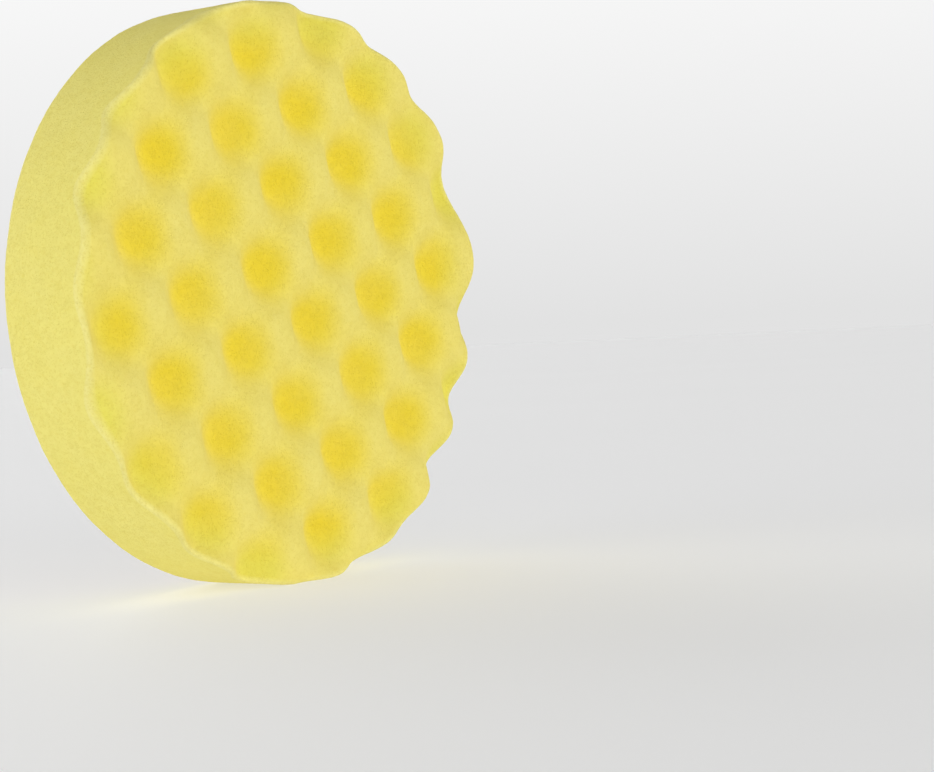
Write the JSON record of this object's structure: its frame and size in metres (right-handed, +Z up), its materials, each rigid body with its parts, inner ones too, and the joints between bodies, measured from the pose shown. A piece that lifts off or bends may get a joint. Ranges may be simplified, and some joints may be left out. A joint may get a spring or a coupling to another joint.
{
  "type": "polishing pad",
  "caption": "Round foam polishing pad with a dimpled waffle face and a flat hook-and-loop backing for a machine polisher.",
  "frame": {"origin": "centre of the loop face, the plane that meets the polisher's backing plate", "axes": "+Y out of the loop face along the spin axis, the waffle face looks along -Y, +Z up as the pad stands on its rim"},
  "size_m": [0.15, 0.032, 0.1497],
  "materials": {
    "foam": "matte open-cell polyurethane foam",
    "adhesive": "satin hot-melt film",
    "loop_cloth": "knitted nylon",
    "loop_pile": "brushed nylon loops with a printed red bar pattern"
  },
  "bodies": {
    "root": {"foam_body": "foam", "adhesive_film": "adhesive", "loop_ground_cloth": "loop_cloth", "loop_pile": "loop_pile"}
  },
  "joints": []
}
